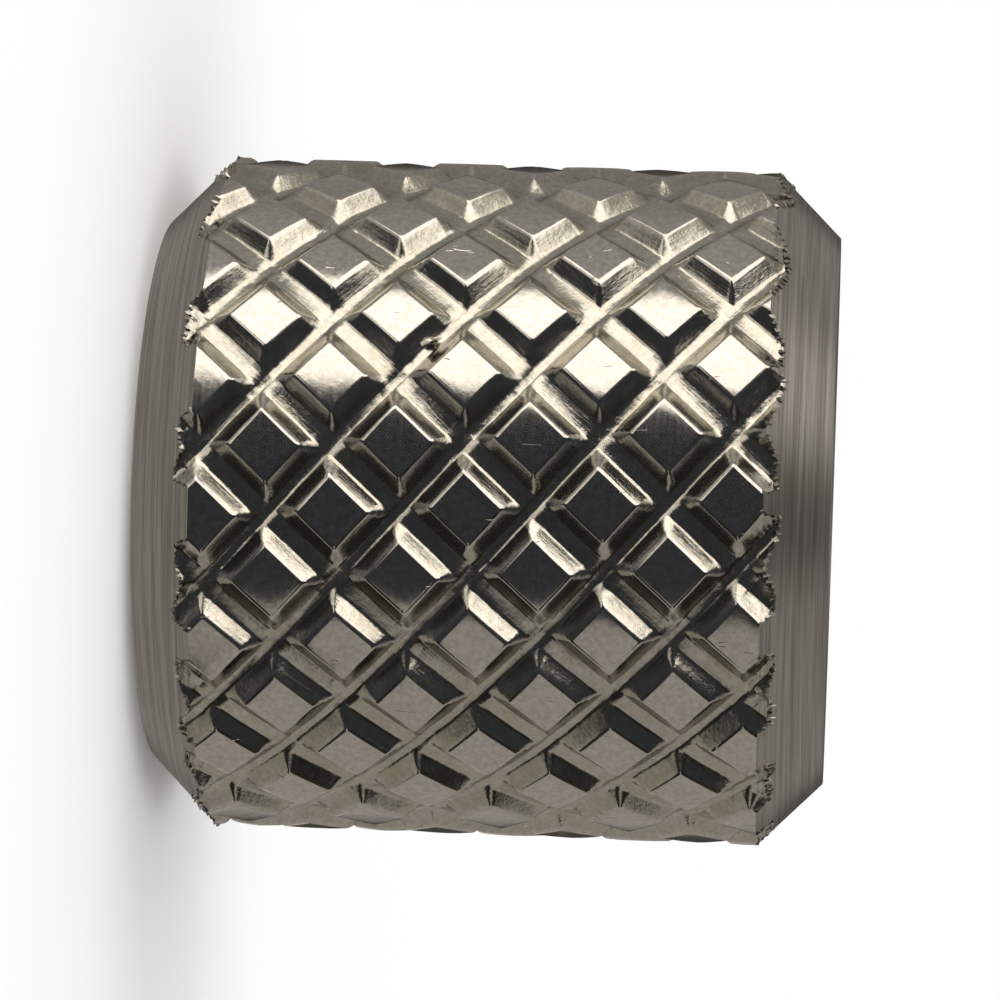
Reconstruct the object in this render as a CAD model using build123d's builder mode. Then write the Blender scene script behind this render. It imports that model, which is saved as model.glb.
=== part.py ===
"""Knurled thumb nut, one piece turned from round stainless bar and threaded right through.

The nut stands on one end face: +Z is its axis, and the origin is the centre of the lower face.
Two families of helical grooves cross on its outside and leave rows of flat-topped diamonds.
"""

import os
from math import acos, ceil, cos, degrees, floor, pi, radians, sin, sqrt, tan

from build123d import *

# Blank, in millimetres
outer_diameter = 19.05
length = 18.9
end_chamfer = 1.8
chamfer_overrun = 0.5  # the chamfers are drawn on this far past the outer diameter

# Knurl: both families have the same spacing across their grooves, and their counts set their
# helix angles, measured from the axis
groove_spacing = 2.585
left_hand_grooves = 15
right_hand_grooves = 17
left_hand_groove_width = 1.17
right_hand_groove_width = 1.27
groove_depth = 0.42
flank_angle = 45  # a flank's lean from the line that points straight out of the nut
# Where a ridge of each family crosses mid-length, in degrees round the axis
left_hand_start = -89.3
right_hand_start = -86.5

# Bore, at the minor diameter of its M8 x 1.25 thread
bore_diameter = 6.65
countersink_diameter = 9.0

outer_radius = outer_diameter / 2
core_radius = outer_radius - groove_depth
bore_radius = bore_diameter / 2
countersink_radius = countersink_diameter / 2
countersink_depth = countersink_radius - bore_radius
circumference = pi * outer_diameter
left_hand_angle = acos(left_hand_grooves * groove_spacing / circumference)
right_hand_angle = acos(right_hand_grooves * groove_spacing / circumference)

# A diamond's flat is a plane, as far out as lets its two side corners lie on the outer diameter
left_hand_half_flat = (groove_spacing - left_hand_groove_width) / 2
right_hand_half_flat = (groove_spacing - right_hand_groove_width) / 2
corner_reach = left_hand_half_flat * cos(right_hand_angle) + right_hand_half_flat * cos(left_hand_angle)
corner_reach /= sin(left_hand_angle + right_hand_angle)
flat_radius = sqrt(outer_radius**2 - corner_reach**2)

# A ridge is drawn from inside the core out to the flats
ridge_overlap = 0.35
ridge_height = flat_radius - core_radius + ridge_overlap
foot_run = ridge_height * tan(radians(flank_angle))


def diamond_places():
    """Where ridges of the two families cross, as turns about Z and heights up the nut."""
    left_twist = -sin(left_hand_angle) / cos(left_hand_angle) / outer_radius
    right_twist = sin(right_hand_angle) / cos(right_hand_angle) / outer_radius
    start_gap = (left_hand_start - right_hand_start) * pi / 180
    reach = length / 2 + groove_spacing
    places = []
    for left in range(left_hand_grooves):
        for right in range(right_hand_grooves):
            gap = start_gap + 2 * pi * (left / left_hand_grooves - right / right_hand_grooves)
            low = ceil((-reach * (right_twist - left_twist) - gap) / (2 * pi))
            high = floor((reach * (right_twist - left_twist) - gap) / (2 * pi))
            for turn in range(low, high + 1):
                height = (gap + 2 * pi * turn) / (right_twist - left_twist)
                angle = right_hand_start + 360 * right / right_hand_grooves
                angle += degrees(right_twist * height)
                places.append(Location((0, 0, length / 2 + height), (0, 0, angle)))
    return places


# One diamond of the knurl, out along +X: where a ridge of one family crosses one of the other
with BuildPart() as diamond:
    for lean, half_flat, mode in (
        (-left_hand_angle, left_hand_half_flat, Mode.ADD),
        (right_hand_angle, right_hand_half_flat, Mode.INTERSECT),
    ):
        along_ridge = (0, sin(lean), cos(lean))
        with BuildSketch(Plane((flat_radius, 0, 0), x_dir=(1, 0, 0), z_dir=along_ridge)):
            Polygon(
                (-ridge_height, -half_flat - foot_run),
                (0, -half_flat),
                (0, half_flat),
                (-ridge_height, half_flat + foot_run),
                align=None,
            )
        extrude(amount=groove_spacing, both=True, mode=mode)

with BuildPart() as thumb_nut:
    Cylinder(core_radius, length, align=(Align.CENTER, Align.CENTER, Align.MIN))
    with Locations(*diamond_places()):
        add(diamond.part)
    # The turned section: end faces, bore, countersinks, and end chamfers drawn on past the flats
    with BuildSketch(Plane.XZ):
        with BuildLine():
            Polyline(
                (bore_radius, countersink_depth),
                (countersink_radius, 0),
                (outer_radius - end_chamfer, 0),
                (outer_radius + chamfer_overrun, end_chamfer + chamfer_overrun),
                (outer_radius + chamfer_overrun, length - end_chamfer - chamfer_overrun),
                (outer_radius - end_chamfer, length),
                (countersink_radius, length),
                (bore_radius, length - countersink_depth),
                close=True,
            )
        make_face()
    revolve(axis=Axis.Z, mode=Mode.INTERSECT)

os.makedirs("parts", exist_ok=True)
thumb_nut.part.label = "thumb_nut"
export_step(thumb_nut.part, "parts/thumb_nut.step")
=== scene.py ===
"""Knurled thumb nut in stainless steel: its knurl, turned body, threaded bore, finish and studio.

The nut stands on one end face at the origin and its axis is +Z. Its outside and its bore are each
made as a flat sheet first: u runs round the nut, v runs up it, and the third way is outwards. A
bevel is a plane there, so the sheet is cut by it before it is wrapped round the axis.
"""

import math

import bmesh
import bpy
from mathutils import Matrix, Vector, noise


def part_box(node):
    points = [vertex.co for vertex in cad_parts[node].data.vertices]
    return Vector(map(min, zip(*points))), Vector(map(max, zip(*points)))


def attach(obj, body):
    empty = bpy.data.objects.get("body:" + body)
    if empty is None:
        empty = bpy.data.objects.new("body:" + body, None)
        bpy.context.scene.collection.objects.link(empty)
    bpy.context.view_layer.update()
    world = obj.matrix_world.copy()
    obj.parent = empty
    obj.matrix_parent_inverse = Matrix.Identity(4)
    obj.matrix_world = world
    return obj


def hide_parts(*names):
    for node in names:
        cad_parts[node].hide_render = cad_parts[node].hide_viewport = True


bl_info = {
    "name": "Knurled Thumb Nut",
    "version": (1, 0, 0),
    "blender": (4, 5, 0),
    "location": "3D View > Sidebar > Thumb Nut",
    "description": "Builds a knurled, threaded thumb nut, its steel and a plain studio",
    "category": "Object",
}

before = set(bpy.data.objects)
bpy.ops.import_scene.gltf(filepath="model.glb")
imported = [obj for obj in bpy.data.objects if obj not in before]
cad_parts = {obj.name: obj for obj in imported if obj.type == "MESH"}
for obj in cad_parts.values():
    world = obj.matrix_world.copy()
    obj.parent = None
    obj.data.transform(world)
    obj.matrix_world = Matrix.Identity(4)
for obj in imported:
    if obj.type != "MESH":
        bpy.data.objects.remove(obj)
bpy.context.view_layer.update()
NODE = "thumb_nut"
NODE_LOW, NODE_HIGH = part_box(NODE)
MM = 0.001
THREAD_COLUMNS = 64  # cells in one turn of the thread
CHIP_SEED = 1  # without one, the chip would differ from run to run
RIM_MERGE = 0.002 * MM  # points on a rim that are nearer than this become one

MATH_NODE = "ShaderNodeMath"
VECTOR_NODE = "ShaderNodeVectorMath"
RANGE_NODE = "ShaderNodeMapRange"
NOISE_NODE = "ShaderNodeTexNoise"


def add_node(tree, kind, inputs=None, **settings):
    """Adds a node with its settings, and sets or links its inputs by name or number."""
    node = tree.nodes.new(kind)
    for name, value in settings.items():
        setattr(node, name, value)
    for key, value in (inputs or {}).items():
        if isinstance(value, bpy.types.Node):
            value = value.outputs[0]
        if isinstance(value, bpy.types.NodeSocket):
            tree.links.new(value, node.inputs[key])
        else:
            node.inputs[key].default_value = value
    return node


def linear(hex_colour):
    """Turns an sRGB hex colour into linear red, green, blue and alpha."""
    channels = [int(hex_colour[at:at + 2], 16) / 255 for at in (1, 3, 5)]
    return [c / 12.92 if c <= 0.04045 else ((c + 0.055) / 1.055) ** 2.4 for c in channels] + [1]


# ---------------------------------------------------------------- sizes and colours


class KnurlSettings(bpy.types.PropertyGroup):
    """The two families of helical grooves that cut the outside into diamonds."""

    outer_diameter: bpy.props.FloatProperty(
        name="Outer Diameter", description="Across the flats of the diamonds, from the CAD model",
        default=NODE_HIGH.x - NODE_LOW.x, unit="LENGTH", precision=5)
    length: bpy.props.FloatProperty(
        name="Length", description="From end face to end face, from the CAD model",
        default=NODE_HIGH.z - NODE_LOW.z, unit="LENGTH", precision=5)
    spacing: bpy.props.FloatProperty(
        name="Groove Spacing", description="From groove to groove, square to the grooves",
        default=2.585 * MM, unit="LENGTH", precision=5)
    left_grooves: bpy.props.IntProperty(
        name="Left-hand Grooves", description="Starts of the left-hand family",
        default=15, min=3)
    right_grooves: bpy.props.IntProperty(
        name="Right-hand Grooves", description="Starts of the right-hand family",
        default=17, min=3)
    left_width: bpy.props.FloatProperty(
        name="Left-hand Width", description="Width of a left-hand groove at the flats",
        default=1.17 * MM, unit="LENGTH", precision=5)
    right_width: bpy.props.FloatProperty(
        name="Right-hand Width", description="Width of a right-hand groove at the flats",
        default=1.27 * MM, unit="LENGTH", precision=5)
    left_depth: bpy.props.FloatProperty(
        name="Left-hand Depth", description="Depth of the left-hand grooves, the second cut",
        default=0.45 * MM, unit="LENGTH", precision=5)
    right_depth: bpy.props.FloatProperty(
        name="Right-hand Depth", description="Depth of the right-hand grooves, the first cut",
        default=0.39 * MM, unit="LENGTH", precision=5)
    left_start: bpy.props.FloatProperty(
        name="Left-hand Start", description="Where a left-hand ridge crosses mid-length",
        default=math.radians(-89.3), subtype="ANGLE")
    right_start: bpy.props.FloatProperty(
        name="Right-hand Start", description="Where a right-hand ridge crosses mid-length",
        default=math.radians(-86.5), subtype="ANGLE")
    edge_rounding: bpy.props.FloatProperty(
        name="Edge Rounding", description="Width over which each edge of a diamond turns",
        default=0.07 * MM, unit="LENGTH", precision=5)
    tear_height: bpy.props.FloatProperty(
        name="Tear Height", description="Unevenness that the cutter left on the groove walls",
        default=0.03 * MM, unit="LENGTH", precision=5)
    ragged_height: bpy.props.FloatProperty(
        name="Ragged Height", description="Unevenness where the grooves run out at the bevels",
        default=0.08 * MM, unit="LENGTH", precision=5)
    burr_gap: bpy.props.FloatProperty(
        name="Burr Gap", description="From burr to burr where the grooves run out at the bevels",
        default=0.2 * MM, unit="LENGTH", precision=5)
    burr_length: bpy.props.FloatProperty(
        name="Burr Length", description="Length of the longest burrs",
        default=0.26 * MM, unit="LENGTH", precision=5)
    chip_length: bpy.props.FloatProperty(
        name="Chip Length", description="Length of the chip stuck in one groove",
        default=0.5 * MM, unit="LENGTH", precision=5)
    chip_turn: bpy.props.FloatProperty(
        name="Chip Turn", description="Where the chip is, round the nut",
        default=math.radians(-116.3), subtype="ANGLE")
    chip_height: bpy.props.FloatProperty(
        name="Chip Height", description="Where the chip is, up the nut",
        default=8.05 * MM, unit="LENGTH", precision=5)


class BodySettings(bpy.types.PropertyGroup):
    """The turned ends and the threaded bore."""

    end_bevel: bpy.props.FloatProperty(
        name="End Bevel", description="Size of the 45 degree bevel at each end",
        default=1.8 * MM, unit="LENGTH", precision=5)
    rim_rounding: bpy.props.FloatProperty(
        name="Rim Rounding", description="Radius where a bevel meets an end face",
        default=0.07 * MM, unit="LENGTH", precision=5)
    thread_diameter: bpy.props.FloatProperty(
        name="Thread Diameter", description="Nominal diameter of the M8 x 1.25 thread",
        default=8.0 * MM, unit="LENGTH", precision=5)
    thread_pitch: bpy.props.FloatProperty(
        name="Thread Pitch", description="From crest to crest",
        default=1.25 * MM, unit="LENGTH", precision=5)
    bore_diameter: bpy.props.FloatProperty(
        name="Bore Diameter", description="At the crests of the thread",
        default=6.65 * MM, unit="LENGTH", precision=5)
    countersink_diameter: bpy.props.FloatProperty(
        name="Countersink Diameter", description="Across the 90 degree countersink, at the face",
        default=9.0 * MM, unit="LENGTH", precision=5)


class FinishSettings(bpy.types.PropertyGroup):
    """Colours of the steel, of the oil film that the cutting left on it, and of the dark low
    points of its torn groove walls.
    """

    steel: bpy.props.FloatVectorProperty(
        name="Steel", description="Bare turned stainless steel",
        default=linear("#c3bfb8"), size=4, min=0, max=1, subtype="COLOR")
    dull_lines: bpy.props.FloatVectorProperty(
        name="Dull Lines", description="Steel in the turning lines, where it is less bright",
        default=linear("#908b84"), size=4, min=0, max=1, subtype="COLOR")
    streak_width: bpy.props.FloatProperty(
        name="Streak Width", description="Width of the streaks left along a groove",
        default=0.06 * MM, unit="LENGTH", precision=5)
    streak_length: bpy.props.FloatProperty(
        name="Streak Length", description="Length of the streaks left along a groove",
        default=0.9 * MM, unit="LENGTH", precision=5)
    oil_film: bpy.props.FloatVectorProperty(
        name="Oil Film", description="Steel seen through dried cutting oil in the grooves",
        default=linear("#b3afa2"), size=4, min=0, max=1, subtype="COLOR")
    # A dark brown laid on the low points of the torn relief of the groove walls
    pits: bpy.props.FloatVectorProperty(
        name="Pits", description="Oil and dirt in the torn pits of the groove walls",
        default=linear("#4a4234"), size=4, min=0, max=1, subtype="COLOR")
    line_spacing: bpy.props.FloatProperty(
        name="Turning Lines", description="Spacing of the lines left by the turning tool",
        default=0.09 * MM, unit="LENGTH", precision=5)


class StudioSettings(bpy.types.PropertyGroup):
    """The camera, the floor and the light round the nut."""

    camera_distance: bpy.props.FloatProperty(
        name="Camera Distance", description="From the middle of the nut",
        default=137 * MM, unit="LENGTH", precision=5)
    camera_azimuth: bpy.props.FloatProperty(
        name="Camera Azimuth", description="Round the nut, from straight along +Y",
        default=math.radians(0.68), subtype="ANGLE")
    camera_elevation: bpy.props.FloatProperty(
        name="Camera Elevation", description="Above the middle of the nut",
        default=math.radians(4.15), subtype="ANGLE")
    camera_roll: bpy.props.FloatProperty(
        name="Camera Roll", description="Turns the view until the nut's axis lies across it",
        default=math.radians(91.95), subtype="ANGLE")
    lens: bpy.props.FloatProperty(
        name="Lens", description="Focal length on a 36 mm wide sensor, in millimetres",
        default=173)


# ---------------------------------------------------------------- grooved sheets


def bare_points(cells):
    """A mesh that is only points."""
    points = bpy.data.meshes.new("cells")
    points.from_pydata(cells, [], [])
    return points


def grown_mesh(tree, base, values):
    """Runs a node tree on a mesh and returns the plain mesh that it makes."""
    holder = bpy.data.objects.new(tree.name, base)
    bpy.context.scene.collection.objects.link(holder)
    modifier = holder.modifiers.new(tree.name, "NODES")
    modifier.node_group = tree
    for item in tree.interface.items_tree:
        if item.in_out == "INPUT" and item.name in values:
            modifier[item.identifier] = values[item.name]
    seen = holder.evaluated_get(bpy.context.evaluated_depsgraph_get())
    mesh = bpy.data.meshes.new_from_object(seen)
    bpy.data.objects.remove(holder)
    return mesh


def open_tree(name, inputs, output):
    """Starts a Geometry Nodes tree, and returns it with what its named inputs give."""
    tree = bpy.data.node_groups.new(name, "GeometryNodeTree")
    for kind, titles in inputs.items():
        for title in titles:
            tree.interface.new_socket(name=title, in_out="INPUT", socket_type="NodeSocket" + kind)
    tree.interface.new_socket(name=output, in_out="OUTPUT", socket_type="NodeSocketGeometry")
    return tree, add_node(tree, "NodeGroupInput").outputs


def close_tree(tree, shape, material):
    """Ends a tree with its shape made real and given its material."""
    real = add_node(tree, "GeometryNodeRealizeInstances", {0: shape})
    coated = add_node(tree, "GeometryNodeSetMaterial", {"Geometry": real, "Material": material})
    add_node(tree, "NodeGroupOutput", {0: coated})
    return tree


def groove_tree(name, first_lines, second_lines):
    """A flat sheet of cells cut by two families of grooves, or by one if the other has no depth.

    Each point of the input is a cell where a ridge of the first family meets one of the second,
    and its place counts the two kinds of ridge. The lines say where a cell is divided each way.
    """
    tree, given = open_tree(name, {
        "Geometry": ["Cells"],
        "Vector": ["First Step", "Second Step", "Origin"],
        "Float": [
            "Radius", "Length", "End Bevel", "First Spacing", "Second Spacing",
            "First Ridge", "Second Ridge", "First Floor", "Second Floor", "Edge Rounding",
            "Tear Height", "Tear Size", "Ragged Height", "Ragged Size", "Ragged Reach", "Seed"],
        "Material": ["Material"],
    }, "Sheet")
    full_tear = 0.1 * MM  # depth of groove at which its walls are torn in full
    seam = 0.002  # points of two cells that are nearer than this share of a cell become one

    # One cell, its lines drawn together where the section turns
    position = add_node(tree, "GeometryNodeInputPosition")
    place = add_node(tree, "ShaderNodeSeparateXYZ", {0: position})
    moved = []
    for axis, lines in enumerate((first_lines, second_lines)):
        share = add_node(tree, MATH_NODE, {0: place.outputs[axis], 1: 0.5}, operation="ADD")
        curve = add_node(tree, "ShaderNodeFloatCurve", {"Value": share})
        points = curve.mapping.curves[0].points
        for count, line in enumerate(lines[1:-1], start=1):
            points.new(count / (len(lines) - 1), line + 0.5)
        for point in points:
            point.handle_type = "VECTOR"
        curve.mapping.update()
        moved.append(add_node(tree, MATH_NODE, {0: curve, 1: 0.5}, operation="SUBTRACT"))
    square = add_node(tree, "GeometryNodeMeshGrid", {
        "Size X": 1.0, "Size Y": 1.0,
        "Vertices X": len(first_lines), "Vertices Y": len(second_lines)})
    cell = add_node(tree, "GeometryNodeSetPosition", {
        "Geometry": square,
        "Position": add_node(tree, "ShaderNodeCombineXYZ", {0: moved[0], 1: moved[1]})})
    spread = add_node(tree, "GeometryNodeInstanceOnPoints", {
        "Points": given["Cells"], "Instance": cell})
    loose = add_node(tree, "GeometryNodeRealizeInstances", {0: spread})
    sheet = add_node(tree, "GeometryNodeMergeByDistance", {"Geometry": loose, "Distance": seam})

    # Section of each family: flank heights fall from the ridge, down to the groove's floor
    sections = []
    for axis, family in enumerate(("First", "Second")):
        from_ridge = add_node(tree, MATH_NODE, {
            0: place.outputs[axis], 1: 0.5}, operation="PINGPONG")
        fall = add_node(tree, MATH_NODE, {
            0: from_ridge, 1: given[family + " Spacing"], 2: given[family + " Ridge"]},
            operation="MULTIPLY_ADD")
        sections.append(add_node(tree, MATH_NODE, {
            0: fall, 1: given[family + " Floor"], 2: given["Edge Rounding"]},
            operation="SMOOTH_MAX"))
    diamond = add_node(tree, MATH_NODE, {
        0: sections[0], 1: sections[1], 2: given["Edge Rounding"]}, operation="SMOOTH_MIN")
    height = add_node(tree, MATH_NODE, {
        0: diamond, 1: 0.0, 2: given["Edge Rounding"]}, operation="SMOOTH_MIN")

    # Counts of ridges become distances round the nut and up it
    by_first = add_node(tree, VECTOR_NODE, {
        0: place.outputs[0], 1: given["First Step"], 2: given["Origin"]}, operation="MULTIPLY_ADD")
    flat = add_node(tree, VECTOR_NODE, {
        0: place.outputs[1], 1: given["Second Step"], 2: by_first}, operation="MULTIPLY_ADD")
    way = add_node(tree, "ShaderNodeSeparateXYZ", {0: flat})

    # Torn metal: the groove walls are uneven, and more so where the grooves run out at the ends
    turn = add_node(tree, MATH_NODE, {0: way.outputs[0], 1: given["Radius"]}, operation="DIVIDE")
    spoke = add_node(tree, "ShaderNodeCombineXYZ", {0: given["Radius"], 2: way.outputs[1]})
    wrapped = add_node(tree, "ShaderNodeVectorRotate", {"Vector": spoke, "Angle": turn},
                       rotation_type="Z_AXIS")
    in_groove = add_node(tree, RANGE_NODE, {
        "Value": diamond, "From Min": given["Edge Rounding"], "From Max": -full_tear})
    other_end = add_node(tree, MATH_NODE, {
        0: given["Length"], 1: way.outputs[1]}, operation="SUBTRACT")
    nearest = add_node(tree, MATH_NODE, {0: way.outputs[1], 1: other_end}, operation="MINIMUM")
    from_bevel = add_node(tree, MATH_NODE, {
        0: nearest, 1: given["End Bevel"]}, operation="SUBTRACT")
    near_end = add_node(tree, RANGE_NODE, {
        "Value": from_bevel, "From Min": given["Ragged Reach"], "From Max": 0.0})
    for title, masks in (("Tear", [in_groove]), ("Ragged", [in_groove, near_end])):
        scale = add_node(tree, MATH_NODE, {0: 1.0, 1: given[title + " Size"]}, operation="DIVIDE")
        wobble = add_node(tree, NOISE_NODE, {
            "Vector": wrapped, "W": given["Seed"], "Scale": scale, "Detail": 2.0},
            noise_dimensions="4D")
        # The noise mostly stays between 0.3 and 0.7
        uneven = add_node(tree, RANGE_NODE, {
            "Value": wobble, "From Min": 0.3, "From Max": 0.7, "To Min": -0.5, "To Max": 0.5})
        for mask in masks:
            uneven = add_node(tree, MATH_NODE, {0: uneven, 1: mask}, operation="MULTIPLY")
        height = add_node(tree, MATH_NODE, {
            0: uneven, 1: given[title + " Height"], 2: height}, operation="MULTIPLY_ADD")

    shaped = add_node(tree, "GeometryNodeSetPosition", {
        "Geometry": sheet, "Position": add_node(tree, "ShaderNodeCombineXYZ", {
            0: way.outputs[0], 1: way.outputs[1], 2: height})})
    return close_tree(tree, shaped, given["Material"])


def helices(knurl):
    """Each family's helix angle, left-hand positive, and where across its grooves a ridge lies."""
    radius = knurl.outer_diameter / 2
    found = []
    for grooves, start, hand in (
        (knurl.left_grooves, knurl.left_start, 1), (knurl.right_grooves, knurl.right_start, -1),
    ):
        angle = hand * math.acos(grooves * knurl.spacing / (math.tau * radius))
        across = radius * start * math.cos(angle) + knurl.length / 2 * math.sin(angle)
        found.append((angle, across))
    return found


def mirrored(half):
    """Puts the same lines on the other side of the middle, too."""
    return [-line for line in reversed(half)] + half


def groove_lines(edge, foot, turn):
    """Places of the lines across a cell, from the middle of one groove to the next.

    The flat ends at `edge`, the flank at `foot` and each turns within `turn`, as shares of a cell.
    """
    half = [edge / 2]
    half += [edge + turn * share for share in (-1, -0.35, 0.35, 1)]
    half += [(edge + foot) / 2]
    half += [foot + turn * share for share in (-0.8, 0, 0.8)]
    half += [0.5]
    return sorted(mirrored(half) + [0])


def wrapped_skin(sheet, radius, length, bevel, end, side):
    """Lowers both ends of a sheet onto 45 degree bevels and wraps it round the axis.

    The sheet's height points out of the metal: away from the axis if side is 1, and towards it
    if side is -1. It stops short of each end face by `end`, where its open rings are.
    """
    bm = bmesh.new()
    bm.from_mesh(sheet)
    for face, slope in ((0, 1), (length, -1)):
        start = face + slope * bevel
        cut = bmesh.ops.bisect_plane(
            bm, geom=bm.verts[:] + bm.edges[:] + bm.faces[:], dist=1e-8,
            plane_co=(0, start, 0), plane_no=(0, -slope, 1))
        for piece in cut["geom_cut"]:
            if isinstance(piece, bmesh.types.BMEdge):
                piece.smooth = False
        for vertex in bm.verts:
            vertex.co.z = min(vertex.co.z, slope * (vertex.co.y - start))
        bmesh.ops.bisect_plane(
            bm, geom=bm.verts[:] + bm.edges[:] + bm.faces[:], dist=1e-8,
            plane_co=(0, face + slope * end, 0), plane_no=(0, -slope, 0), clear_outer=True)
    for vertex in bm.verts:
        around, up, out = vertex.co
        spoke = radius + side * out
        angle = around / radius
        vertex.co = (spoke * math.cos(angle), spoke * math.sin(angle), up)
    rims = [vertex for vertex in bm.verts if vertex.is_boundary]
    bmesh.ops.remove_doubles(bm, verts=rims, dist=RIM_MERGE)
    return bm


def open_rings(bm):
    """The closed rings of boundary vertices, each anticlockwise from above, the lowest first."""
    left = dict.fromkeys(vertex for vertex in bm.verts if vertex.is_boundary)
    rings = []
    while left:
        ring = [next(iter(left))]
        del left[ring[0]]
        while True:
            rim = [edge for edge in ring[-1].link_edges if edge.is_boundary]
            following = [edge.other_vert(ring[-1]) for edge in rim]
            following = [vertex for vertex in following if vertex in left]
            if not following:
                break
            del left[following[0]]
            ring.append(following[0])
        area = sum(a.co.x * b.co.y - b.co.x * a.co.y for a, b in zip(ring, ring[1:] + ring[:1]))
        rings.append(ring if area > 0 else ring[::-1])
    return sorted(rings, key=lambda ring: sum(vertex.co.z for vertex in ring) / len(ring))


def add_band(bm, ring, places):
    """Extends a ring by a band of faces out to new vertices at the given places."""
    edge = [bm.verts.new(place) for place in places]
    for at in range(len(ring)):
        bm.faces.new((ring[at - 1], ring[at], edge[at], edge[at - 1]))
    return edge


def stitch(bm, ring, other):
    """Joins two rings of different counts by triangles, each on the ring that lags behind."""
    def turned(vertices):
        angles = [math.atan2(vertex.co.y, vertex.co.x) for vertex in vertices]
        first = angles.index(min(angles))
        return vertices[first:] + vertices[:first]

    def angle_at(vertices, at):
        vertex = vertices[at % len(vertices)]
        return math.atan2(vertex.co.y, vertex.co.x) + math.tau * (at // len(vertices))

    ring, other = turned(ring), turned(other)
    at, other_at = 0, 0
    while at < len(ring) or other_at < len(other):
        a, b = ring[at % len(ring)], other[other_at % len(other)]
        on_ring = other_at == len(other) or (
            at < len(ring) and angle_at(ring, at + 1) < angle_at(other, other_at + 1))
        if on_ring:
            at += 1
            bm.faces.new((a, ring[at % len(ring)], b))
        else:
            other_at += 1
            bm.faces.new((a, other[other_at % len(other)], b))


def mark_sharp(ring):
    """Keeps the shading on the two sides of a ring apart."""
    members = set(ring)
    for vertex in ring:
        for edge in vertex.link_edges:
            if edge.other_vert(vertex) in members:
                edge.smooth = False


def close_end(bm, outer, inner, sizes, upper):
    """Makes one end face of the nut, with rounded corners to its bevel and its countersink."""
    knurl, body = sizes
    rounding = body.rim_rounding
    reach = rounding * math.tan(math.radians(22.5))

    def rounded_corner(ring, corner, side):
        """Bends a ring over onto the end face, from a 45 degree slope beside a corner's radius."""
        centre = corner - side * reach
        for angle in (60, 75, 90):
            spoke = centre + side * rounding * math.cos(math.radians(angle))
            depth = rounding * (1 - math.sin(math.radians(angle)))
            height = knurl.length - depth if upper else depth
            flats = [Vector((vertex.co.x, vertex.co.y, 0)).normalized() * spoke for vertex in ring]
            ring = add_band(bm, ring, [(flat.x, flat.y, height) for flat in flats])
        mark_sharp(ring)
        return ring

    rim = rounded_corner(outer, knurl.outer_diameter / 2 - body.end_bevel, 1)
    mouth = rounded_corner(inner, body.countersink_diameter / 2, -1)
    stitch(bm, rim, mouth)


def burr_tree():
    """Burrs where the grooves run out at the bevels, each a little broken sliver of steel."""
    tree, given = open_tree("Burrs", {
        "Geometry": ["Nut"],
        "Float": ["Radius", "Middle", "Least Depth", "Most Depth", "Gap", "Longest"],
        "Int": ["Seed"],
        "Material": ["Material"],
    }, "Burrs")
    steepness = 1.25  # inwards for each step along the axis, a little more than the bevel's own
    stray = Vector((0.8, 0.8, 0.8))
    # Each burr's width, thickness and length lie between these shares of the longest
    smallest, largest = (0.25, 0.35, 0.3), (0.6, 1.0, 1.0)

    # The bevels cut the nut in sharp edges, which lie deeper than the flats in the grooves
    place = add_node(tree, "GeometryNodeInputPosition")
    inward = add_node(tree, VECTOR_NODE, {0: place, 1: (-1, -1, 0)}, operation="MULTIPLY")
    spoke = add_node(tree, VECTOR_NODE, {0: inward}, operation="LENGTH").outputs["Value"]
    depth = add_node(tree, MATH_NODE, {0: given["Radius"], 1: spoke}, operation="SUBTRACT")
    chosen = add_node(tree, "FunctionNodeBooleanMath", {
        0: add_node(tree, "GeometryNodeInputEdgeSmooth")}, operation="NOT")
    for end, way in (("Least Depth", "GREATER_THAN"), ("Most Depth", "LESS_THAN")):
        within = add_node(tree, MATH_NODE, {0: depth, 1: given[end]}, operation=way)
        chosen = add_node(tree, "FunctionNodeBooleanMath", {0: chosen, 1: within}, operation="AND")
    brinks = add_node(tree, "GeometryNodeMeshToCurve", {"Mesh": given["Nut"], "Selection": chosen})
    points = add_node(tree, "GeometryNodeCurveToPoints", {
        "Curve": brinks, "Length": given["Gap"]}, mode="LENGTH")

    # Each points down the bevel, more or less
    height = add_node(tree, "ShaderNodeSeparateXYZ", {0: place}).outputs[2]
    off_middle = add_node(tree, MATH_NODE, {0: height, 1: given["Middle"]}, operation="SUBTRACT")
    side = add_node(tree, MATH_NODE, {0: off_middle}, operation="SIGN")
    along = add_node(tree, "ShaderNodeCombineXYZ", {2: side})
    to_axis = add_node(tree, VECTOR_NODE, {0: inward}, operation="NORMALIZE")
    steep = add_node(tree, VECTOR_NODE, {0: to_axis, "Scale": steepness}, operation="SCALE")
    down = add_node(tree, VECTOR_NODE, {0: steep, 1: along}, operation="ADD")
    astray = add_node(tree, "FunctionNodeRandomValue", {
        0: -stray, 1: stray, "Seed": given["Seed"]}, data_type="FLOAT_VECTOR")
    aim = add_node(tree, VECTOR_NODE, {0: down, 1: astray}, operation="ADD")
    turned = add_node(tree, "FunctionNodeAlignRotationToVector", {"Vector": aim}, axis="Z")
    sizes = add_node(tree, "FunctionNodeRandomValue", {
        0: smallest, 1: largest, "Seed": given["Seed"]}, data_type="FLOAT_VECTOR")
    scales = add_node(tree, VECTOR_NODE, {0: sizes, "Scale": given["Longest"]}, operation="SCALE")
    # A four-sided sliver, one long, whose thick end is rooted in the steel
    sliver = add_node(tree, "GeometryNodeMeshCone", {
        "Vertices": 4, "Radius Top": 0.15, "Radius Bottom": 0.5, "Depth": 1.0})
    rooted = add_node(tree, "GeometryNodeTransform", {
        "Geometry": sliver, "Translation": (0, 0, -0.55)})
    spread = add_node(tree, "GeometryNodeInstanceOnPoints", {
        "Points": points, "Instance": rooted, "Rotation": turned, "Scale": scales})
    return close_tree(tree, spread, given["Material"])


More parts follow.
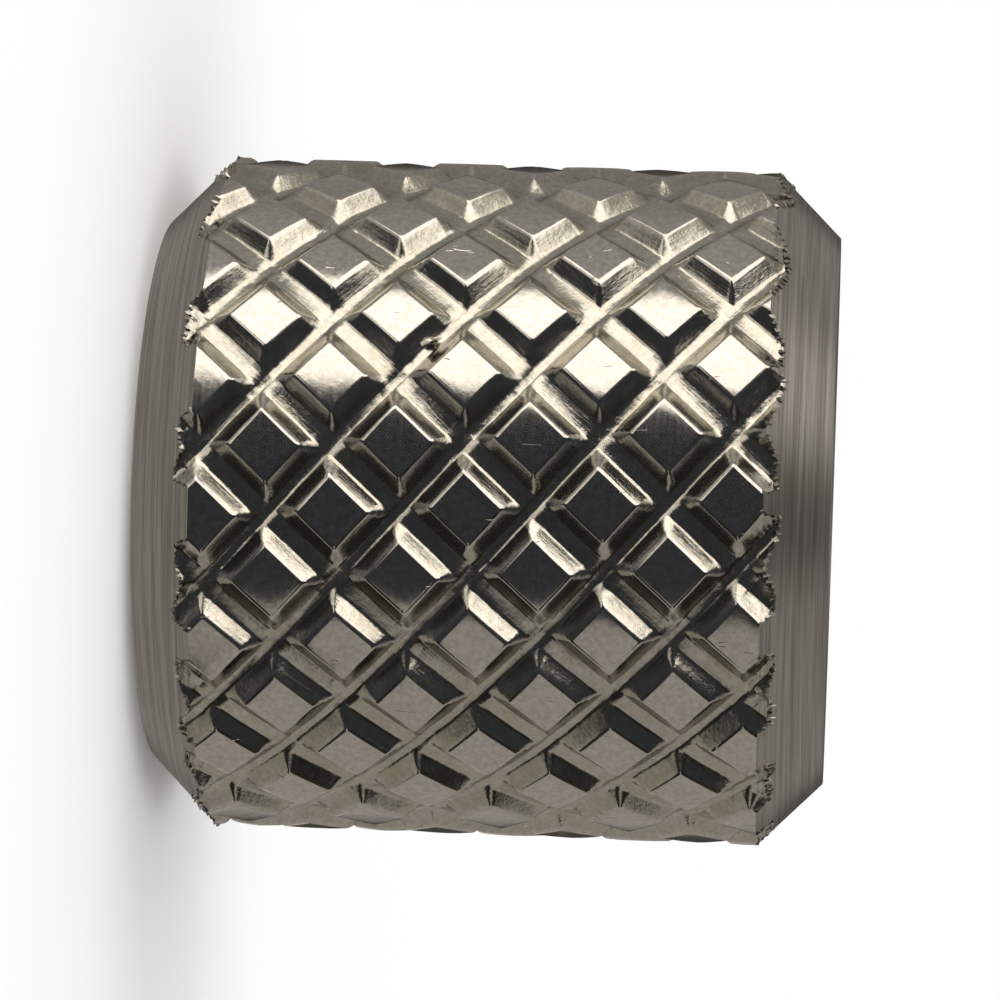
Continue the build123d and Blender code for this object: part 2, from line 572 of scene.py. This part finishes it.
def add_chip(mesh, knurl):
    """Adds a torn chip that lies across a groove, half sunk in its floor."""
    lumps, lump_height = 3.0, 0.3  # across a ball that is one wide
    thickness, width = 0.35, 0.4  # shares of the chip's length
    sunk = 0.7  # share of the groove's depth
    lean = 0.4
    noise.seed_set(CHIP_SEED)
    bm = bmesh.new()
    bm.from_mesh(mesh)
    made = bmesh.ops.create_icosphere(bm, subdivisions=2, radius=0.5)["verts"]
    for vertex in made:
        vertex.co += noise.noise_vector(vertex.co * lumps) * lump_height
        vertex.co *= knurl.chip_length
        vertex.co.y *= width
        vertex.co.x *= thickness
    spoke = knurl.outer_diameter / 2 - knurl.left_depth * sunk
    place = (Matrix.Rotation(knurl.chip_turn, 4, "Z")
             @ Matrix.Translation((spoke, 0, knurl.chip_height)) @ Matrix.Rotation(lean, 4, "X"))
    bmesh.ops.transform(bm, matrix=place, verts=made)
    bm.to_mesh(mesh)


def nut_mesh(sizes, steel):
    """The whole nut as one closed mesh."""
    knurl, body = sizes
    radius = knurl.outer_diameter / 2
    spacing = knurl.spacing
    (left_angle, left_across), (right_angle, right_across) = helices(knurl)
    left_ridge = (spacing - knurl.left_width) / 2
    right_ridge = (spacing - knurl.right_width) / 2
    crossing = math.sin(left_angle - right_angle)
    left_step = Vector((-math.sin(right_angle), math.cos(right_angle), 0)) * spacing / crossing
    right_step = Vector((math.sin(left_angle), -math.cos(left_angle), 0)) * spacing / crossing
    # Where these two ridges meet
    origin = (left_step * left_across + right_step * right_across) / spacing
    # Each skin ends where the rounding of its corner with the end face starts
    end = body.rim_rounding * (1 - math.cos(math.radians(45)))

    turn = knurl.edge_rounding / spacing
    tree = groove_tree(
        "Knurl",
        groove_lines(left_ridge / spacing, (left_ridge + knurl.left_depth) / spacing, turn),
        groove_lines(right_ridge / spacing, (right_ridge + knurl.right_depth) / spacing, turn))
    cells = []
    for left in range(knurl.left_grooves):
        at_zero = (origin + left_step * left).y
        low = math.floor((knurl.length + spacing - at_zero) / right_step.y)
        high = math.ceil((-spacing - at_zero) / right_step.y)
        cells += [(left, right, 0) for right in range(low, high + 1)]
    outside = wrapped_skin(grown_mesh(tree, bare_points(cells), {
        "First Step": left_step, "Second Step": right_step, "Origin": origin,
        "Radius": radius, "Length": knurl.length, "End Bevel": body.end_bevel,
        "First Spacing": -spacing, "Second Spacing": -spacing,
        "First Ridge": left_ridge, "Second Ridge": right_ridge,
        "First Floor": -knurl.left_depth, "Second Floor": -knurl.right_depth,
        "Edge Rounding": knurl.edge_rounding,
        "Tear Height": knurl.tear_height, "Tear Size": 0.25 * MM,
        "Ragged Height": knurl.ragged_height, "Ragged Size": 0.22 * MM, "Ragged Reach": 0.6 * MM,
        "Seed": 3.0, "Material": steel,
    }), radius, knurl.length, body.end_bevel, end, 1)

    # The thread is one family of grooves, whose cells climb one pitch in a full turn
    bore_radius = body.bore_diameter / 2
    pitch = body.thread_pitch
    depth = (body.thread_diameter - body.bore_diameter) / 2
    steepness = 1 / math.tan(math.radians(30))
    half_crest = pitch / 8
    # Two lines where the flank leaves the crest, two where it meets the root, and the cell's edge
    tree = groove_tree("Thread", mirrored([0.5]), mirrored([0.11, 0.14, 0.43, 0.46, 0.5]))
    turns = range(-2, math.ceil(knurl.length / pitch) + 2)
    cells = [(column + 0.5, turn, 0) for column in range(THREAD_COLUMNS) for turn in turns]
    inside = wrapped_skin(grown_mesh(tree, bare_points(cells), {
        "First Step": Vector((math.tau * bore_radius, pitch, 0)) / THREAD_COLUMNS,
        "Second Step": Vector((0, pitch, 0)), "Origin": Vector((0, 0, 0)),
        "Radius": bore_radius, "Length": knurl.length, "End Bevel": 0.0,
        "First Spacing": 0.0, "Second Spacing": -pitch * steepness,
        "First Ridge": pitch, "Second Ridge": half_crest * steepness,
        "First Floor": 0.0, "Second Floor": -depth, "Edge Rounding": 0.03 * MM,
        "Tear Height": 0.0, "Tear Size": 1 * MM,
        "Ragged Height": 0.0, "Ragged Size": 1 * MM, "Ragged Reach": 1 * MM,
        "Seed": 0.0, "Material": steel,
    }), bore_radius, knurl.length, body.countersink_diameter / 2 - bore_radius, end, -1)

    bore = bpy.data.meshes.new("bore")
    inside.to_mesh(bore)
    outside.from_mesh(bore)
    rings = open_rings(outside)
    # From the lowest up: the outside's and the bore's lower rings, then their upper ones
    for pair, upper in ((rings[:2], False), (rings[2:], True)):
        inner, outer = sorted(pair, key=lambda ring: ring[0].co.xy.length)
        close_end(outside, outer, inner, sizes, upper)
    bmesh.ops.recalc_face_normals(outside, faces=outside.faces[:])
    for face in outside.faces:
        face.smooth = True
    mesh = bpy.data.meshes.new("thumb_nut_steel")
    outside.to_mesh(mesh)
    mesh.materials.clear()
    mesh.materials.append(steel)
    return mesh


# ---------------------------------------------------------------- materials


def bare_material(name):
    """Starts a material, and returns it with its empty node tree."""
    material = bpy.data.materials.new(name)
    material.use_nodes = True
    material.node_tree.nodes.clear()
    return material, material.node_tree


def stainless_steel(finish, knurl, body):
    """Stainless steel, turned from bar and cut, not polished.

    The turning tool leaves fine lines round the nut that streak its bevels and end faces. The
    groove walls are torn and rougher, dried cutting oil yellows them in patches, and the low
    points of their torn relief are coloured a dark brown.
    """
    material, tree = bare_material("stainless_steel_turned")
    place = add_node(tree, "ShaderNodeTexCoord").outputs["Object"]
    parts = add_node(tree, "ShaderNodeSeparateXYZ", {0: place})
    height = parts.outputs[2]
    flat = add_node(tree, VECTOR_NODE, {0: place, 1: (1, 1, 0)}, operation="MULTIPLY")
    spoke = add_node(tree, VECTOR_NODE, {0: flat}, operation="LENGTH").outputs["Value"]

    # Depth below the turned blank, whose radius shrinks along the bevels, tells the groove walls
    # from the flats, and what is deeper than any groove is the bore
    groove_from, groove_full = 0.05 * MM, 0.12 * MM
    below_grooves = 0.6 * MM
    at_face = 0.03 * MM
    bevel_full = 0.05 * MM
    middle = knurl.length / 2
    off_middle = add_node(tree, MATH_NODE, {0: height, 1: middle}, operation="SUBTRACT")
    far = add_node(tree, MATH_NODE, {0: off_middle}, operation="ABSOLUTE")
    past = add_node(tree, MATH_NODE, {0: far, 1: middle - body.end_bevel}, operation="SUBTRACT")
    bevelled = add_node(tree, MATH_NODE, {0: past, 1: 0.0}, operation="MAXIMUM")
    inside = add_node(tree, MATH_NODE, {
        0: knurl.outer_diameter / 2, 1: spoke}, operation="SUBTRACT")
    depth = add_node(tree, MATH_NODE, {0: inside, 1: bevelled}, operation="SUBTRACT")
    cut = add_node(tree, RANGE_NODE, {
        "Value": depth, "From Min": groove_from, "From Max": groove_full})
    off_bore = add_node(tree, MATH_NODE, {0: depth, 1: below_grooves}, operation="LESS_THAN")
    off_face = add_node(tree, MATH_NODE, {0: far, 1: middle - at_face}, operation="LESS_THAN")
    on_knurl = add_node(tree, MATH_NODE, {0: off_bore, 1: off_face}, operation="MULTIPLY")
    in_groove = add_node(tree, MATH_NODE, {0: cut, 1: on_knurl}, operation="MULTIPLY")
    on_bevel = add_node(tree, RANGE_NODE, {
        "Value": bevelled, "From Min": 0.0, "From Max": bevel_full})

    # Turning lines: rings that differ along the nut and outwards, and fade slowly round it. They
    # are strong on the bevels and nearly gone from the flats
    fine = 1 / finish.line_spacing
    slow = 1 / (5 * MM)
    stretched = add_node(tree, VECTOR_NODE, {
        0: place, 1: (slow, slow, fine)}, operation="MULTIPLY")
    ringed = add_node(tree, MATH_NODE, {0: spoke, 1: fine}, operation="MULTIPLY")
    lines = add_node(tree, NOISE_NODE, {
        "Vector": stretched, "W": ringed, "Scale": 1.0, "Detail": 3.0, "Roughness": 0.6},
        noise_dimensions="4D")
    line_depth = add_node(tree, RANGE_NODE, {
        "Value": on_bevel, "To Min": 0.08, "To Max": 0.9})

    # The skin of the bar is faintly uneven, so its reflections are mottled
    mottle_size = 0.16 * MM
    skin = add_node(tree, NOISE_NODE, {
        "Vector": place, "Scale": 1 / mottle_size, "Detail": 4.0, "Roughness": 0.6})

    # A few short scratches in the flats: thin lines where a stretched noise passes its middle
    # value, and only where a second noise peaks
    scratch_apart, patch_size = 0.35 * MM, 0.6 * MM
    scratch_width = 0.012  # in the noise's own value
    leaning = add_node(tree, "ShaderNodeMapping", {
        "Vector": place, "Rotation": (0.3, 0.5, 0.4), "Scale": (1, 1, 0.12)})
    slow_noise = add_node(tree, NOISE_NODE, {
        "Vector": leaning, "Scale": 1 / scratch_apart, "Detail": 0.0})
    off_line = add_node(tree, MATH_NODE, {0: slow_noise, 1: 0.5}, operation="SUBTRACT")
    from_line = add_node(tree, MATH_NODE, {0: off_line}, operation="ABSOLUTE")
    scratches = add_node(tree, RANGE_NODE, {
        "Value": from_line, "From Min": 0.0, "From Max": scratch_width})
    sparse = add_node(tree, NOISE_NODE, {
        "Vector": place, "W": 2.0, "Scale": 1 / patch_size, "Detail": 0.0}, noise_dimensions="4D")
    where = add_node(tree, RANGE_NODE, {
        "Value": sparse, "From Min": 0.68, "From Max": 0.71})
    above_cut = add_node(tree, MATH_NODE, {0: 1.0, 1: cut}, operation="SUBTRACT")
    off_bevel = add_node(tree, MATH_NODE, {0: 1.0, 1: on_bevel}, operation="SUBTRACT")
    for mask in (above_cut, off_bevel):
        where = add_node(tree, MATH_NODE, {0: where, 1: mask}, operation="MULTIPLY")

    # The cutter leaves streaks along each groove: a point's groove is the one whose middle is
    # nearer
    turned = add_node(tree, MATH_NODE, {
        0: parts.outputs[1], 1: parts.outputs[0]}, operation="ARCTAN2")
    around = add_node(tree, MATH_NODE, {
        0: turned, 1: knurl.outer_diameter / 2}, operation="MULTIPLY")
    spread = add_node(tree, "ShaderNodeCombineXYZ", {0: around, 1: height})
    nearness, ways = [], []
    for angle, ridge in helices(knurl):
        across_way = (math.cos(angle), math.sin(angle), 0)
        along_way = (-math.sin(angle), math.cos(angle), 0)
        across = add_node(tree, VECTOR_NODE, {0: spread, 1: across_way}, operation="DOT_PRODUCT")
        along = add_node(tree, VECTOR_NODE, {0: spread, 1: along_way}, operation="DOT_PRODUCT")
        from_ridge = add_node(tree, MATH_NODE, {
            0: across.outputs["Value"], 1: ridge}, operation="SUBTRACT")
        nearness.append(add_node(tree, MATH_NODE, {
            0: from_ridge, 1: knurl.spacing / 2}, operation="PINGPONG"))
        across_fine = add_node(tree, MATH_NODE, {
            0: across.outputs["Value"], 1: finish.streak_width}, operation="DIVIDE")
        along_coarse = add_node(tree, MATH_NODE, {
            0: along.outputs["Value"], 1: finish.streak_length}, operation="DIVIDE")
        ways.append(add_node(tree, "ShaderNodeCombineXYZ", {0: across_fine, 1: along_coarse}))
    in_left = add_node(tree, MATH_NODE, {0: nearness[0], 1: nearness[1]}, operation="GREATER_THAN")
    groove_way = add_node(tree, "ShaderNodeMix", {
        "Factor": in_left, 4: ways[1], 5: ways[0]}, data_type="VECTOR").outputs[1]
    streaks = add_node(tree, NOISE_NODE, {
        "Vector": groove_way, "Scale": 1.0, "Detail": 3.0, "Roughness": 0.6})

    # Torn metal on the walls and floors of the grooves
    tear_size = 0.13 * MM
    torn = add_node(tree, NOISE_NODE, {
        "Vector": place, "Scale": 1 / tear_size, "Detail": 4.0, "Roughness": 0.7})

    # How strong and how deep each kind of mark is, each on top of the one before
    carried = {}
    for strength, relief, mark in (
        (line_depth, 0.004 * MM, lines), (0.5, 0.004 * MM, skin), (where, 0.008 * MM, scratches),
        (in_groove, 0.005 * MM, streaks), (in_groove, 0.007 * MM, torn),
    ):
        bump = add_node(tree, "ShaderNodeBump", {
            "Strength": strength, "Distance": relief, "Height": mark, **carried})
        carried = {"Normal": bump}

    # Oil film in the grooves, in patches, and a dark brown laid on the low points of their torn
    # relief
    film_size = 0.7 * MM
    patches = add_node(tree, NOISE_NODE, {
        "Vector": place, "Scale": 1 / film_size, "Detail": 3.0, "Roughness": 0.6})
    patchy = add_node(tree, RANGE_NODE, {
        "Value": patches, "From Min": 0.35, "From Max": 0.65, "To Min": 0.25})
    oiled = add_node(tree, MATH_NODE, {0: in_groove, 1: patchy}, operation="MULTIPLY")
    pits = add_node(tree, RANGE_NODE, {
        "Value": torn, "From Min": 0.33, "From Max": 0.27, "To Max": 0.8})
    pitted = add_node(tree, MATH_NODE, {0: in_groove, 1: pits}, operation="MULTIPLY")
    filmed = add_node(tree, "ShaderNodeMix", {
        "Factor": oiled, 6: finish.steel[:], 7: finish.oil_film[:]}, data_type="RGBA").outputs[2]
    pit_darkened = add_node(tree, "ShaderNodeMix", {
        "Factor": pitted, 6: filmed, 7: finish.pits[:]}, data_type="RGBA").outputs[2]

    # The steel is less bright in the turning lines of the bevels and in the mottle of the flats
    dull_most = add_node(tree, RANGE_NODE, {
        "Value": on_bevel, "To Min": 0.35, "To Max": 0.8})
    grain = add_node(tree, RANGE_NODE, {
        "Value": on_bevel, "To Min": skin, "To Max": lines})
    dull = add_node(tree, RANGE_NODE, {
        "Value": grain, "From Min": 0.62, "From Max": 0.38, "To Max": dull_most})
    colour = add_node(tree, "ShaderNodeMix", {
        "Factor": dull, 6: pit_darkened, 7: finish.dull_lines[:]}, data_type="RGBA").outputs[2]

    # The bevels are the roughest, and the flats differ a little along their lines
    rough_lines = add_node(tree, RANGE_NODE, {
        "Value": lines, "From Min": 0.3, "From Max": 0.7, "To Min": 0.12, "To Max": 0.18})
    bevel_lines = add_node(tree, RANGE_NODE, {
        "Value": on_bevel, "To Min": rough_lines, "To Max": 0.30})
    rough = add_node(tree, RANGE_NODE, {
        "Value": in_groove, "To Min": bevel_lines, "To Max": 0.13})
    shader = add_node(tree, "ShaderNodeBsdfPrincipled", {
        "Base Color": colour, "Metallic": 1.0, "Roughness": rough, **carried})
    add_node(tree, "ShaderNodeOutputMaterial", {"Surface": shader})
    return material


def pale_floor():
    """Smooth pale board: lit near the nut, so that it keeps the shadow, and plain white beyond."""
    lit_to, white_from = 40 * MM, 90 * MM
    material, tree = bare_material("pale_board")
    place = add_node(tree, "ShaderNodeTexCoord").outputs["Object"]
    away = add_node(tree, VECTOR_NODE, {0: place}, operation="LENGTH").outputs["Value"]
    far = add_node(tree, RANGE_NODE, {
        "Value": away, "From Min": lit_to, "From Max": white_from},
        interpolation_type="SMOOTHSTEP")
    path = add_node(tree, "ShaderNodeLightPath")
    seen = path.outputs["Is Camera Ray"]
    for kind in ("Is Glossy Ray", "Is Transmission Ray"):
        seen = add_node(tree, MATH_NODE, {0: seen, 1: path.outputs[kind]}, operation="MAXIMUM")
    share = add_node(tree, MATH_NODE, {0: far, 1: seen}, operation="MULTIPLY")
    board = add_node(tree, "ShaderNodeBsdfDiffuse", {"Color": linear("#f4f4f4")})
    white = add_node(tree, "ShaderNodeEmission", {"Color": (1, 1, 1, 1), "Strength": 1.0})
    mixed = add_node(tree, "ShaderNodeMixShader", {0: share, 1: board, 2: white})
    add_node(tree, "ShaderNodeOutputMaterial", {"Surface": mixed})
    return material


def card_screens(middle):
    """Cards and panels round the nut, seen only as its reflections.

    Each card has a colour, a strength and the directions from the nut that bound it. The cosine to
    each direction says where it starts and where it is full, and a later card lies over the
    earlier ones. Above and below are along the nut's axis, and overhead is up as the camera sees
    it, which is -X.
    """
    front, back = (0, -1, 0), (0, 1, 0)
    overhead, under = (-1, 0, 0), (1, 0, 0)
    above, below = (0, 0, 1), (0, 0, -1)
    softbox, rising, low_back = (-1, 0, 0.3), (-0.39, -0.775, -0.50), (0.5, 0.87, 0)
    room = "#9c9894"
    cards = (
        # A pale card overhead, a dark one in front, where the camera stands, and a wide one below
        ("#b3b0ab", 1.0, [(overhead, 0.85, 1.0)]),
        ("#3d4044", 1.0, [(front, 0.10, 0.35)]),
        ("#b4afa8", 1.0, [(under, 0.58, 0.66)]),
        # Low at the camera's sides, two dark cards and a pale patch. Behind, another dark card
        ("#2e2d2b", 1.0, [((0.74, -0.42, -0.52), 0.92, 0.938)]),
        ("#2e2d2b", 1.0, [((0.70, -0.52, 0.49), 0.925, 0.955)]),
        ("#a8a498", 1.0, [((0.45, -0.12, -0.885), 0.95, 0.962)]),
        ("#44423f", 1.0, [(back, 0.80, 0.92)]),
        # A lit panel low behind, cut to a band that lies toward the nut's lower end
        ("#fff9f0", 0.7, [(low_back, 0.90, 0.94), (above, -0.45, -0.40), (below, 0.15, 0.20)]),
        # A lit patch for the upper bevel to mirror, and a dim one for the upper end face
        ("#c8c4bd", 1.4, [((-0.36, 0.15, 0.92), 0.97, 0.99)]),
        ("#5a5a58", 1.0, [((0.05, 0.02, 1.0), 0.97, 0.99)]),
        # A soft glow at each side
        ("#f4efe4", 0.6, [((-0.72, -0.38, -0.58), 0.925, 0.94)]),
        ("#f4efe4", 0.5, [((-0.6, -0.1, 0.8), 0.925, 0.96)]),
        # The softbox high on the camera's side, its part toward the upper end, and a bright spot
        ("#fff8ee", 2.4, [(softbox, 0.515, 0.55), (front, 0.20, 0.32), (below, -0.60, -0.50)]),
        ("#fff8ee", 2.4, [(rising, 0.03, 0.065), (overhead, 0.22, 0.29), (above, 0.50, 0.60)]),
        ("#fff8ee", 1.2, [((-0.42, -0.68, -0.53), 0.955, 0.975)]),
    )
    material, tree = bare_material("card_screens")
    place = add_node(tree, "ShaderNodeTexCoord").outputs["Object"]
    from_nut = add_node(tree, VECTOR_NODE, {0: place, 1: middle}, operation="SUBTRACT")
    way = add_node(tree, VECTOR_NODE, {0: from_nut}, operation="NORMALIZE")
    seen = linear(room)
    for colour, strength, limits in cards:
        share = 1.0
        for toward, start, full in limits:
            cosine = add_node(tree, VECTOR_NODE, {
                0: way, 1: Vector(toward).normalized()}, operation="DOT_PRODUCT")
            inside = add_node(tree, RANGE_NODE, {
                "Value": cosine.outputs["Value"], "From Min": start, "From Max": full},
                interpolation_type="SMOOTHSTEP")
            share = add_node(tree, MATH_NODE, {0: share, 1: inside}, operation="MULTIPLY")
        bright = [channel * strength for channel in linear(colour)]
        seen = add_node(tree, "ShaderNodeMix", {
            "Factor": share, 6: seen, 7: bright}, data_type="RGBA").outputs[2]
    # What isn't mirrored, such as the floor, is lit as by a plain white room and the lamp
    matt = add_node(tree, "ShaderNodeLightPath").outputs["Is Diffuse Ray"]
    level = add_node(tree, "ShaderNodeMix", {
        "Factor": matt, 6: seen, 7: (1, 1, 1, 1)}, data_type="RGBA").outputs[2]
    glow = add_node(tree, "ShaderNodeEmission", {"Color": level, "Strength": 1.0})
    add_node(tree, "ShaderNodeOutputMaterial", {"Surface": glow})
    material.cycles.emission_sampling = "NONE"
    return material


def plain_mesh(name, make, **sizes):
    """A mesh of one of Blender's own shapes."""
    bm = bmesh.new()
    make(bm, **sizes)
    mesh = bpy.data.meshes.new(name)
    bm.to_mesh(mesh)
    return mesh


def linked(name, data):
    """Puts an object with this data into the scene."""
    thing = bpy.data.objects.new(name, data)
    bpy.context.scene.collection.objects.link(thing)
    return thing


# ---------------------------------------------------------------- operators and panel


class THUMBNUT_OT_nut(bpy.types.Operator):
    """Builds the nut in place of its CAD solid"""

    bl_idname = "thumbnut.nut"
    bl_label = "Knurled Nut"

    def execute(self, context):
        settings = context.scene
        steel = stainless_steel(settings.nut_finish, settings.nut_knurl, settings.nut_body)
        nut = linked("knurled_nut", nut_mesh((settings.nut_knurl, settings.nut_body), steel))
        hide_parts(NODE)
        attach(nut, "root")
        return {"FINISHED"}


class THUMBNUT_OT_burrs(bpy.types.Operator):
    """Adds the burrs where the grooves run out at the bevels"""

    bl_idname = "thumbnut.burrs"
    bl_label = "Burrs"

    def execute(self, context):
        knurl = context.scene.nut_knurl
        nut = bpy.data.objects["knurled_nut"].data
        steel = nut.materials[0]
        mesh = grown_mesh(burr_tree(), nut, {
            "Radius": knurl.outer_diameter / 2, "Middle": knurl.length / 2,
            "Least Depth": 0.06 * MM, "Most Depth": 0.6 * MM,
            "Gap": knurl.burr_gap, "Longest": knurl.burr_length, "Seed": 5, "Material": steel})
        if not mesh.polygons:
            raise RuntimeError("The nut has no groove that runs out at a bevel")
        add_chip(mesh, knurl)
        mesh.name = "burrs"
        mesh.materials.clear()
        mesh.materials.append(steel)
        burrs = linked("burrs", mesh)
        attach(burrs, "root")
        return {"FINISHED"}


class THUMBNUT_OT_studio(bpy.types.Operator):
    """Sets up the floor, the light and the camera"""

    bl_idname = "thumbnut.studio"
    bl_label = "Studio"

    def execute(self, context):
        studio = context.scene.nut_studio
        middle = Vector((0, 0, context.scene.nut_knurl.length / 2))

        floor = linked("floor", plain_mesh(
            "floor", bmesh.ops.create_grid, x_segments=1, y_segments=1, size=1.5))
        floor.data.materials.append(pale_floor())
        screens = linked("screens", plain_mesh(
            "screens", bmesh.ops.create_uvsphere, u_segments=64, v_segments=32, radius=0.5))
        screens.data.materials.append(card_screens(middle))
        screens.visible_camera = False
        screens.visible_shadow = False
        # The cards go on below the floor, so that the steel mirrors them there
        floor.visible_glossy = False

        # It throws the nut's soft shadow on the floor
        lamp = bpy.data.lights.new("softbox", "AREA")
        lamp.shape, lamp.size, lamp.size_y = "RECTANGLE", 0.3, 0.25
        lamp.energy = 0.6
        softbox = linked("softbox", lamp)
        softbox.location = (-0.35, -0.08, 0.14)
        softbox.rotation_euler = (middle - softbox.location).to_track_quat("-Z", "Y").to_euler()
        softbox.visible_glossy = False

        world = bpy.data.worlds.new("white_room")
        world.use_nodes = True
        world.node_tree.nodes["Background"].inputs["Color"].default_value = (1, 1, 1, 1)
        world.cycles.sampling_method = "NONE"
        context.scene.world = world

        camera = linked("camera", bpy.data.cameras.new("camera"))
        camera.data.lens = studio.lens
        camera.data.clip_start = 5 * MM
        azimuth, elevation = studio.camera_azimuth, studio.camera_elevation
        back = Vector((math.sin(azimuth) * math.cos(elevation),
                       -math.cos(azimuth) * math.cos(elevation), math.sin(elevation)))
        level = (-back).to_track_quat("-Z", "Y").to_matrix().to_4x4()
        camera.matrix_world = (
            Matrix.Translation(middle + back * studio.camera_distance) @ level
            @ Matrix.Rotation(studio.camera_roll, 4, "Z"))
        context.scene.camera = camera
        context.scene.view_settings.view_transform = "Standard"
        return {"FINISHED"}


class THUMBNUT_PT_panel(bpy.types.Panel):
    """Lists the steps and their sizes"""

    bl_idname = "THUMBNUT_PT_panel"
    bl_label = "Thumb Nut"
    bl_space_type = "VIEW_3D"
    bl_region_type = "UI"
    bl_category = "Thumb Nut"

    def draw(self, context):
        for group in SETTINGS:
            box = self.layout.box()
            for name in SETTINGS[group].__annotations__:
                box.prop(getattr(context.scene, group), name)
        for step in STEPS:
            self.layout.operator(step.bl_idname)


SETTINGS = {
    "nut_knurl": KnurlSettings, "nut_body": BodySettings,
    "nut_finish": FinishSettings, "nut_studio": StudioSettings,
}
STEPS = (THUMBNUT_OT_nut, THUMBNUT_OT_burrs, THUMBNUT_OT_studio)


def register():
    for kind in (*SETTINGS.values(), *STEPS, THUMBNUT_PT_panel):
        bpy.utils.register_class(kind)
    for name, kind in SETTINGS.items():
        setattr(bpy.types.Scene, name, bpy.props.PointerProperty(type=kind))


def unregister():
    for name in SETTINGS:
        delattr(bpy.types.Scene, name)
    for kind in (THUMBNUT_PT_panel, *STEPS, *SETTINGS.values()):
        bpy.utils.unregister_class(kind)


def main():
    register()
    bpy.ops.thumbnut.nut()
    bpy.ops.thumbnut.burrs()
    bpy.ops.thumbnut.studio()


if __name__ == "__main__":
    main()
